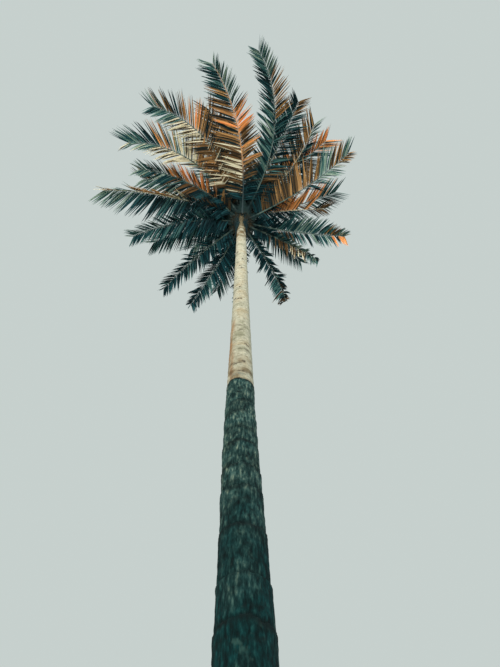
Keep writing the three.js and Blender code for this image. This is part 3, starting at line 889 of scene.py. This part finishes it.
# Every leaflet of one side of a frond, as rows of points: two edges and a midrib at each step, then a tip
def leafletSide(number, side, rng):
    frond = fronds[number]
    count = round(frond.length * (1 - stalkPart) / leaf["pitch"])
    spray = np.arange(count) // leaf["spray"]

    def uneven(perSpray, perLeaf):
        return rng.normal(0, perSpray, spray[-1] + 1)[spray] + rng.normal(0, perLeaf, count)

    # Where it stands along the rib
    middle = (spray + 0.5) * leaf["spray"]
    gather = np.interp(middle / count, leaf["thinning"], leaf["gather"])
    place = middle + (np.arange(count) + 0.5 - middle) * gather
    place = place + rng.uniform(-leaf["placeShift"], leaf["placeShift"], count)
    blade = np.clip(place / count, 0, 1)
    part = stalkPart + (1 - stalkPart) * blade
    point, along, left, up = frameAt(number, part)
    age = 1 - number / (len(fronds) - 1)

    # The way it heads, and its size
    opening = leaf["widest"] - leaf["fall"] * blade ** leaf["fallPower"]
    angle = np.radians(opening + uneven(*leaf["angleWander"]))
    foldWander = leaf["foldWander"] + leaf["agedFold"] * age
    fold = np.radians(frond.fold + uneven(foldWander, leaf["leafFold"]))
    aside = side * np.cos(fold)[:, None] * left - np.sin(fold)[:, None] * up
    heading = np.cos(angle)[:, None] * along + np.sin(angle)[:, None] * aside
    heading[:, 2] -= leaf["sag"]
    heading = unit(heading)
    swell = np.sin(math.pi * (leaf["swellStart"] + leaf["swellSpan"] * blade)) ** leaf["swellPower"]
    torn = np.where(rng.random(count) < leaf["tornShare"], rng.uniform(*leaf["torn"], count), 1)
    length = leaf["length"] * swell * min(1, frond.length / leaf["fullFrond"])
    length = length * rng.uniform(*leaf["lengths"], count) * torn
    droop = np.interp(age, (0, 1), leaf["droop"])
    droop = droop * np.clip(1 + uneven(*leaf["droopWander"]), *leaf["droopLimits"])
    width = np.interp(blade, leaf["thinning"], leaf["width"])
    width = width * (leaf["slimmest"] + (1 - leaf["slimmest"]) * swell)
    width = width * rng.uniform(*leaf["widths"], count)
    tilt = np.radians(leaf["tilt"] + uneven(*leaf["tiltWander"]))
    twist = np.radians(rng.normal(0, leaf["twist"], count))

    # Its rows of points, from its seat on the rib
    seatAside = np.interp(part, ribParts, ribWidths)[:, None] * leaf["seatAside"]
    seatUp = np.interp(part, ribParts, ribDepths)[:, None] * leaf["seatUp"]
    place = point + side * left * seatAside + up * seatUp
    steps = leaf["steps"]
    crease = math.radians(leaf["crease"])
    rows = []
    for step in range(steps + 1):
        reach = step / steps
        across = unit(along - np.sum(along * heading, -1, keepdims=True) * heading)
        normal = side * np.cross(across, heading)
        turn = (side * (tilt + twist * reach))[:, None]
        leafAcross = np.cos(turn) * across + np.sin(turn) * normal
        leafNormal = np.cos(turn) * normal - np.sin(turn) * across
        if step < steps:
            half = (width / 2 * widthShare(reach))[:, None]
            out, down = leafAcross * half * math.cos(crease), leafNormal * half * math.sin(crease)
            rows += [place + out - down, place, place - out - down]
        else:
            rows.append(place)
        bend = (droop * (leaf["droopAtFoot"] + reach) * leaf["droopGain"] / steps)[:, None]
        heading = unit(heading + np.array([0, 0, -1]) * bend)
        place = place + heading * (length / steps)[:, None]
    return np.stack(rows, 1), blade, spray


# Leaflets that would run into the trunk or the heart are left out
def clearOfTrunk(rows):
    heights = rows[..., 2]
    centre = trunkAxis(heights)
    apart = np.hypot(rows[..., 0] - centre[..., 0], rows[..., 1] - centre[..., 1])
    inside = np.where(heights < trunk["top"], trunkRadius(heights), heartRadius(heights))
    inside = np.where(heights > heartTop, 0, inside)
    return np.all(apart > inside + trunkClearance, axis=1)


def leafletFaces(side):
    faces = []
    for step in range(leaf["steps"] - 1):
        a = 3 * step
        faces += [(a + 1, a, a + 3, a + 4), (a + 2, a + 1, a + 4, a + 5)]
    a = 3 * (leaf["steps"] - 1)
    faces += [(a + 1, a, a + 3), (a + 2, a + 1, a + 3)]
    return faces if side > 0 else turned(faces)


def wordsOf(text):
    words = []
    for item in text.split():
        word, _, count = item.partition("*")
        words += [word] * int(count or 1)
    return words


# Deals each spray the mix of its place along the side, with a few leaflets out of their order
def dealTints(text, blade, spray, rng):
    words = wordsOf(text)
    wander = rng.normal(0, dealing["wander"], spray[-1] + 1)[spray]
    index = np.clip(np.floor(blade * len(words) + wander), 0, len(words) - 1).astype(int)
    place = np.arange(len(blade)) % leaf["spray"]
    strays = rng.random(len(blade)) < dealing["strays"]
    place = np.where(strays, rng.integers(0, leaf["spray"], len(blade)), place)
    mixes = [sprayMixes[words[i]] for i in index]
    return [mix[p] if mix else None for mix, p in zip(mixes, place)]


def growLeaflets():
    rng = np.random.default_rng(leaf["seed"])
    piles = {tint: {"points": [], "faces": [], "fronds": set()} for tint in leafTints}
    for number, frond in enumerate(fronds):
        for side, text in ((1, frond.left), (-1, frond.right)):
            rows, blade, spray = leafletSide(number, side, rng)
            tints = dealTints(text, blade, spray, rng)
            pattern = leafletFaces(side)
            for points, tint, clear in zip(rows, tints, clearOfTrunk(rows)):
                if clear and tint:
                    pile = piles[tint]
                    start = len(pile["points"]) * len(points)
                    pile["faces"] += [tuple(start + i for i in face) for face in pattern]
                    pile["points"].append(points)
                    pile["fronds"].add(number)
    return piles


for tint, pile in growLeaflets().items():
    points, material = np.vstack(pile["points"]), leafMaterial(tint)
    piece = meshFromArrays(tint + "Leaflets", points, pile["faces"], material, leaf["smooth"])
    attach(piece, "root")
    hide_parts(*[nodeOf(number) for number in sorted(pile["fronds"])])
    print(tint, "leaflets", len(pile["points"]))


# The newest leaf, still closed: a slim pleated rod on top of the heart

spear = {
    "width": 0.056, "tip": 0.002, "length": 2.4, "lean": 0.13, "sides": 128, "rows": 40, "coneTip": 0.08,
    "pleats": 8, "pleatDepth": 0.14, "pleatTwist": 2, "smooth": 50,
}


def spearLeaf():
    # Closed young leaf: smooth and waxy, pale yellow-green, in tight pleats
    material, surface = newMaterial("youngPalmLeaf", {"Roughness": 0.4, "IOR": 1.45, "Coat Weight": 0.2})
    _, base = streaked(material, (60, 60, 2), {"Detail": 3}, [(0.35, "#6d7a45"), (0.68, "#b9bd84")])
    coat(material, surface, base)
    bpy.ops.mesh.primitive_cone_add(
        vertices=spear["sides"], radius1=1, radius2=spear["coneTip"], depth=spear["length"],
        location=(0, 0, heartTop + spear["length"] / 2))
    rod = bpy.context.object
    rod.name = rod.data.name = "spearLeaf"
    bpy.ops.object.transform_apply(location=True)
    cutUprights(rod, spear["length"] / 2, spear["rows"])
    foot = trunkAxis(heartTop)
    for vertex in rod.data.vertices:
        climbed = (vertex.co.z - heartTop) / spear["length"]
        angle = math.atan2(vertex.co.y, vertex.co.x)
        wave = math.sin(angle * spear["pleats"] / 2 + climbed * spear["pleatTwist"])
        pleat = 1 - spear["pleatDepth"] * abs(wave)
        radius = max(spear["tip"], spear["width"] / 2 * math.sqrt(max(0, 1 - climbed))) * pleat
        vertex.co.x = foot[0] - spear["lean"] * climbed ** 2 + math.cos(angle) * radius
        vertex.co.y = foot[1] + math.sin(angle) * radius
    return dress(rod, material, spear["smooth"])


youngLeaf = spearLeaf()
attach(youngLeaf, "root")
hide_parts("spear")
print("spear done")


# The stage: a plain pale floor, soft light and the photograph's view, steeply up the trunk

ground = {"size": 160, "height": -0.004, "colour": "#dad9d4", "roughness": 0.9}
# Each sun's strength, softness in degrees, colour and the way its light goes
suns = {
    "keySun": (1.4, 14, "#fff6ea", (0.4, 0.8, -0.45)), "lowSun": (1.9, 30, "#fff6ea", (0.15, 0.97, -0.06)),
    "fillSun": (0.7, 40, "#e8eef2", (-0.8, 0.2, -0.5)),
}
# A broad soft light from below the crown, which the photo's own pale ground and haze gave it
crownLight = {"place": (0.5, -11, 0.8), "aim": (0, -0.6, 16.2), "power": 7500, "radius": 2.5, "cone": 52}
surround = {"colour": "#d0dad7", "strength": 0.9}
view = {"place": (0.02, -3.0, 1.5), "pitch": 65, "lens": 27.04, "sensor": 36, "end": 300}


def stageFloor():
    settings = {"Base Color": linear(ground["colour"]), "Roughness": ground["roughness"]}
    bpy.ops.mesh.primitive_plane_add(size=ground["size"], location=(0, 0, ground["height"]))
    floor = dress(bpy.context.object, newMaterial("paleFloor", settings)[0])
    floor.name = "floor"


def addLight(name, kind, place, aim, power, colour="#ffffff"):
    bpy.ops.object.light_add(type=kind, location=place)
    light = bpy.context.object
    light.name = name
    light.data.energy = power
    light.data.color = linear(colour)[:3]
    light.rotation_euler = Vector(aim).to_track_quat("-Z", "Y").to_euler()
    return light.data


stageFloor()
for name, (strength, softness, colour, towards) in suns.items():
    addLight(name, "SUN", (0, 0, 30), towards, strength, colour).angle = math.radians(softness)
upward = Vector(crownLight["aim"]) - Vector(crownLight["place"])
glow = addLight("crownLight", "SPOT", crownLight["place"], upward, crownLight["power"])
glow.shadow_soft_size = crownLight["radius"]
glow.spot_size, glow.spot_blend = math.radians(crownLight["cone"]), 1
world = bpy.data.worlds.new("paleSurround")
bpy.context.scene.world = world
world.use_nodes = True
background = world.node_tree.nodes["Background"]
background.inputs["Color"].default_value = linear(surround["colour"])
background.inputs["Strength"].default_value = surround["strength"]
bpy.context.scene.view_settings.view_transform = "Standard"

bpy.ops.object.camera_add(location=view["place"], rotation=(math.radians(90 + view["pitch"]), 0, 0))
camera = bpy.context.object
camera.data.lens = view["lens"]
camera.data.sensor_width = view["sensor"]
camera.data.clip_end = view["end"]
bpy.context.scene.camera = camera
print("stage done")
